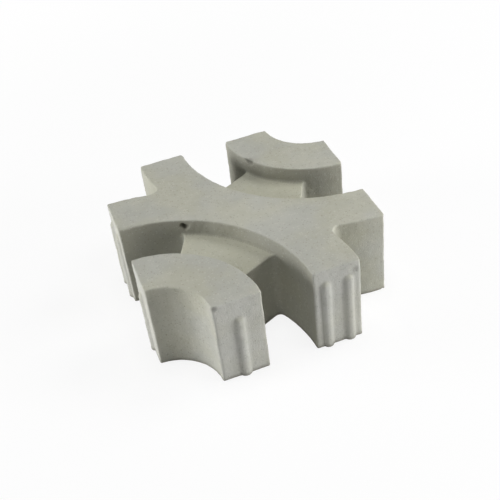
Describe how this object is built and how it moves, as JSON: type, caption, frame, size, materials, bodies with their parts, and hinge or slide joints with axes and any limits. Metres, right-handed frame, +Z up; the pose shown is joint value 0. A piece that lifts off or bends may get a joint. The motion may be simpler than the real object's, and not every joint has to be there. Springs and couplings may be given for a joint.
{
  "type": "concrete paving stone",
  "caption": "Square grass paving stone cast in concrete: two corner rings tied to a crossed middle body by recessed webs, with upright spacer nibs on the arm ends.",
  "frame": {"origin": "centre of the base, on the ground", "axes": "+Z up to the walking face; -Y is the side nearest the camera; the two rings turn about the front left (-X, -Y) and back right (+X, +Y) corners"},
  "size_m": [0.205, 0.205, 0.08],
  "materials": {
    "concrete": "rough"
  },
  "bodies": {
    "root": {"paving_stone": "concrete"}
  },
  "joints": []
}
